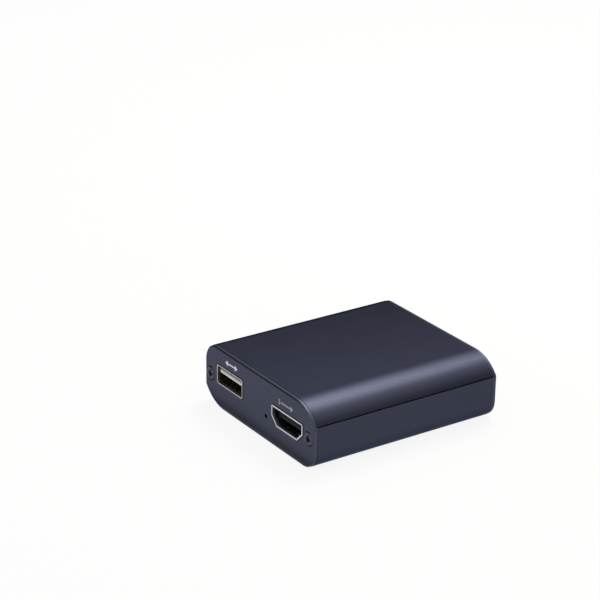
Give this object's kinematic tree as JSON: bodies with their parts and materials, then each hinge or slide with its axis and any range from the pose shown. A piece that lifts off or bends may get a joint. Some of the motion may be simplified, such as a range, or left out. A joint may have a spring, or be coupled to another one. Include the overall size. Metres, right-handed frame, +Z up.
{
  "type": "video capture box",
  "caption": "Small anodised aluminium video capture box: extruded half shells and end panels around a loaded circuit board, with a data port, a video outlet and a video inlet.",
  "frame": {"origin": "middle of the footprint, on the surface the box rests on", "axes": "+Z up, -Y out of the face with the data port and the video outlet, +X to the right when facing that face"},
  "size_m": [0.0544, 0.0614, 0.0183],
  "materials": {
    "case_metal": "blue-grey anodised, fine matt",
    "panel_metal": "blue-grey anodised, fine matt",
    "screw_metal": "black oxide steel",
    "port_metal": "nickel-plated sheet steel",
    "white_plastic": "moulded",
    "black_plastic": "moulded",
    "contact_metal": "gold-flashed",
    "board": "glass-epoxy with green solder mask",
    "chip_plastic": "moulded epoxy",
    "lead_metal": "tinned",
    "can_metal": "bright drawn",
    "ferrite": "sintered",
    "chip_ceramic": "fired, tinned ends",
    "resistor_ceramic": "glazed, tinned ends",
    "lamp_epoxy": "clear epoxy"
  },
  "bodies": {
    "root": {"top_shell": "case_metal", "bottom_shell": "case_metal", "front_panel": "panel_metal", "rear_panel": "panel_metal", "front_screws": "screw_metal", "rear_screws": "screw_metal", "circuit_board": "board", "usb_shell": "port_metal", "usb_insulator": "white_plastic", "usb_contacts": "contact_metal", "outlet_shell": "port_metal", "outlet_insulator": "black_plastic", "outlet_contacts": "contact_metal", "inlet_shell": "port_metal", "inlet_insulator": "black_plastic", "inlet_contacts": "contact_metal", "capture_chip": "chip_plastic", "splitter_chip": "chip_plastic", "splitter_leads": "lead_metal", "memory_chip": "chip_plastic", "memory_leads": "lead_metal", "crystals": "lead_metal", "voltage_regulators": "chip_plastic", "regulator_leads": "lead_metal", "inductors": "ferrite", "capacitor_cans": "can_metal", "capacitor_bases": "black_plastic", "ceramic_capacitors": "chip_ceramic", "chip_resistors": "resistor_ceramic", "guard_arrays": "chip_plastic", "status_light": "lamp_epoxy", "light_leads": "lead_metal"}
  },
  "joints": []
}
